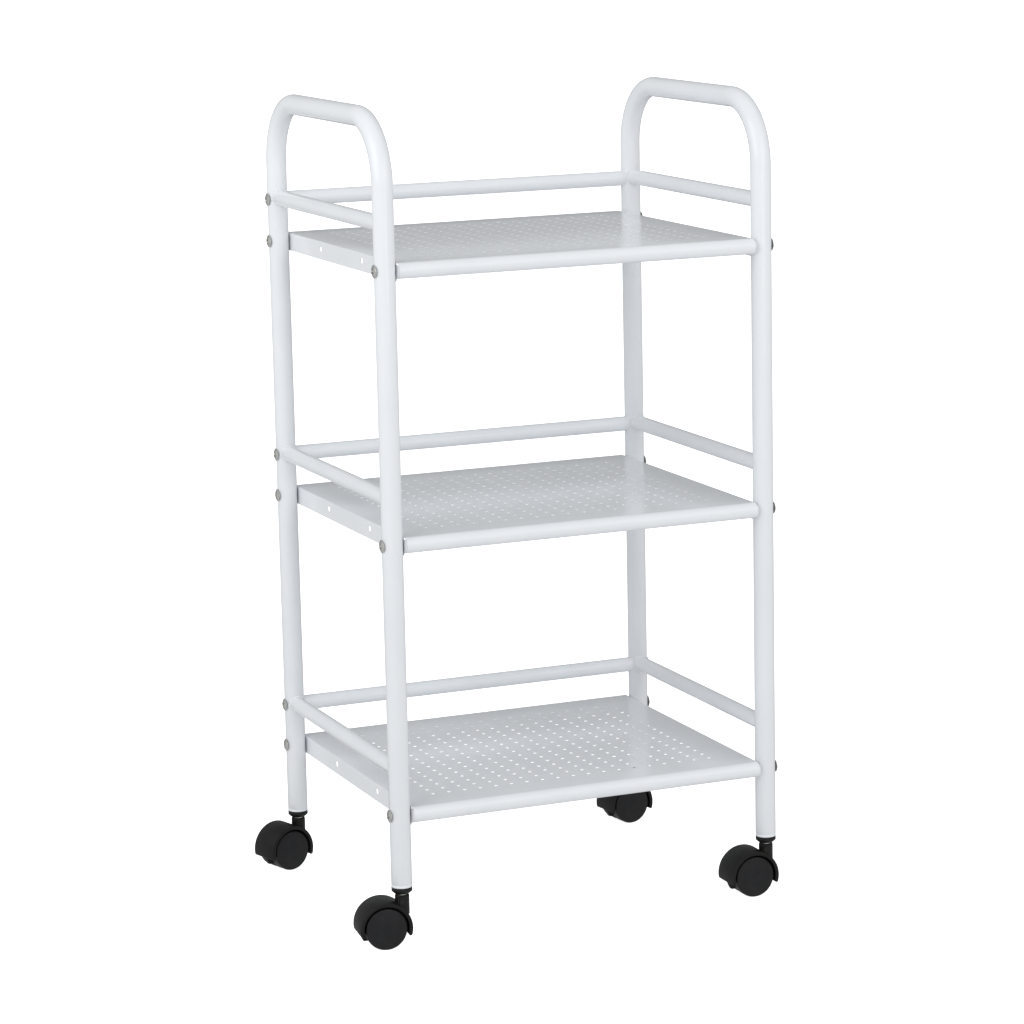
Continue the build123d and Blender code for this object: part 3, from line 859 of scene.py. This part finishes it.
def wheel_mesh():
    """One wheel about the z axis with its closed, slightly domed face up: z = 0 is the caster's middle."""
    inner = WEB / 2 + WHEEL_SIDE_GAP
    bore_end = AXLE_REACH + RUNNING_GAP
    rim_r = WHEEL_R - RIM_WALL
    lead = TREAD_EDGE_R / 2
    face_r = WHEEL_R - TREAD_EDGE_R
    dome_r = (face_r**2 + WHEEL_DOME**2) / (2 * WHEEL_DOME)
    dome_edge = 90 - math.degrees(math.asin(face_r / dome_r))
    profile = [
        (0, bore_end),
        (AXLE_R + FIT, bore_end),
        (AXLE_R + FIT, inner),
        (HUB_R, inner),
        (HUB_R, WHEEL_FACE_Y - WHEEL_DISC),
        (rim_r, WHEEL_FACE_Y - WHEEL_DISC),
        (rim_r, inner),
    ]
    profile += arc((WHEEL_R - lead, inner + lead), lead, -90, 0, 4)
    profile += arc((face_r, WHEEL_FACE_Y - TREAD_EDGE_R), TREAD_EDGE_R, 0, dome_edge, 8)
    profile += arc((0, WHEEL_FACE_Y + WHEEL_DOME - dome_r), dome_r, dome_edge, 90, 14)[1:-1]
    profile.append((0, WHEEL_FACE_Y + WHEEL_DOME))
    return mesh_from(lathe(profile, 96), 40)


def build_casters():
    """Socket, body and two wheels at each corner, round the CAD's stem, ring and axle."""
    collar = collar_mesh()
    body = caster_body_mesh()
    wheel = wheel_mesh()
    for corner in CORNERS:
        place = caster_place(corner)
        add_piece(f"{corner}_collar", collar.copy(), place, "black_socket", "root", f"{corner}_leg_socket")
        caster = f"{corner}_caster"
        add_piece(f"{corner}_hood", body.copy(), place, "black_nylon", caster, f"{caster}_body")
        for way, turn in (("front", math.pi / 2), ("back", -math.pi / 2)):
            hub = place @ Matrix.Translation((-TRAIL, 0, WHEEL_R)) @ Matrix.Rotation(turn, 4, "X")
            node = f"{caster}_{way}_wheel"
            wheel_body = f"{corner}_{way}_wheel"
            add_piece(f"{corner}_{way}_roller", wheel.copy(), hub, "black_wheel", wheel_body, node)


# ---------------------------------------------------------------- studio

def studio_world():
    """A soft surround: brightest low in front on the left, dimmest high at the back on the right."""
    world = bpy.data.worlds.new("studio")
    bpy.context.scene.world = world
    world.use_nodes = True
    nodes, links = world.node_tree.nodes, world.node_tree.links
    direction = nodes.new("ShaderNodeTexCoord").outputs["Generated"]
    facing = nodes.new("ShaderNodeVectorMath")
    facing.operation = "DOT_PRODUCT"
    facing.inputs[1].default_value = Vector(WORLD_BRIGHT_WAY).normalized()
    links.new(direction, facing.inputs[0])
    level = nodes.new("ShaderNodeMapRange")
    span = {"From Min": -1, "From Max": WORLD_EVEN_FROM, "To Min": WORLD_DIM, "To Max": WORLD_BRIGHT}
    for socket, value in span.items():
        level.inputs[socket].default_value = value
    links.new(facing.outputs["Value"], level.inputs["Value"])
    background = nodes["Background"]
    background.inputs["Color"].default_value = (*STUDIO_WHITE, 1)
    links.new(level.outputs["Result"], background.inputs["Strength"])


def studio_floor():
    """A plain floor that glows white in the picture and sends no light or reflection to the trolley."""
    bm = bmesh.new()
    bmesh.ops.create_grid(bm, x_segments=4, y_segments=4, size=FLOOR_HALF)
    paint = Shader("studio_floor", Roughness=0.9, Emission_Color=(1, 1, 1, 1), Emission_Strength=FLOOR_GLOW)
    paint.set("Base Color", paint.colours(paint.noise(0.5), FLOOR_LOW, FLOOR_HIGH))
    floor = new_object("studio_floor", mesh_from(bm), paint.material)
    floor.visible_diffuse = False
    floor.visible_glossy = False


def build_studio():
    """The floor, the surround and three soft lights."""
    studio_floor()
    studio_world()
    for name, at, aim, width, height, power in LIGHTS:
        light = bpy.data.lights.new(name, "AREA")
        light.shape = "RECTANGLE"
        light.size = width
        light.size_y = height
        light.energy = power
        light.color = STUDIO_WHITE
        holder = bpy.data.objects.new(name, light)
        holder.location = at
        holder.rotation_euler = (Vector(aim) - Vector(at)).to_track_quat("-Z", "Y").to_euler()
        bpy.context.scene.collection.objects.link(holder)


def build_camera():
    """The camera: outside the front left corner, a little above the middle, looking slightly down."""
    low, high = (Vector(corner) for corner in cad_box)
    aim = (low + high) / 2 + CAMERA_AIM
    azimuth, elevation = math.radians(CAMERA_AZIMUTH), math.radians(CAMERA_ELEVATION)
    flat = math.cos(elevation)
    back = Vector((math.sin(azimuth) * flat, -math.cos(azimuth) * flat, math.sin(elevation)))
    camera = bpy.data.objects.new("camera", bpy.data.cameras.new("camera"))
    camera.data.lens = CAMERA_LENS
    camera.data.sensor_width = CAMERA_SENSOR
    camera.data.clip_end = CAMERA_CLIP_END
    camera.location = aim + back * CAMERA_DISTANCE
    level = back.to_track_quat("Z", "Y")
    roll = Matrix.Rotation(math.radians(CAMERA_ROLL), 3, "Z")
    camera.rotation_euler = (level.to_matrix() @ roll).to_euler()
    bpy.context.scene.collection.objects.link(camera)
    bpy.context.scene.camera = camera


for node in frame["nodes"].values():
    slot_name = node.data.materials[0].name.split(".")[0]
    for index in range(len(node.data.materials)):
        node.data.materials[index] = materials[slot_name]

build_camera()
build_tubes()
build_shelves()
build_screws()
build_casters()
build_studio()
bpy.context.scene.view_settings.view_transform = "Standard"
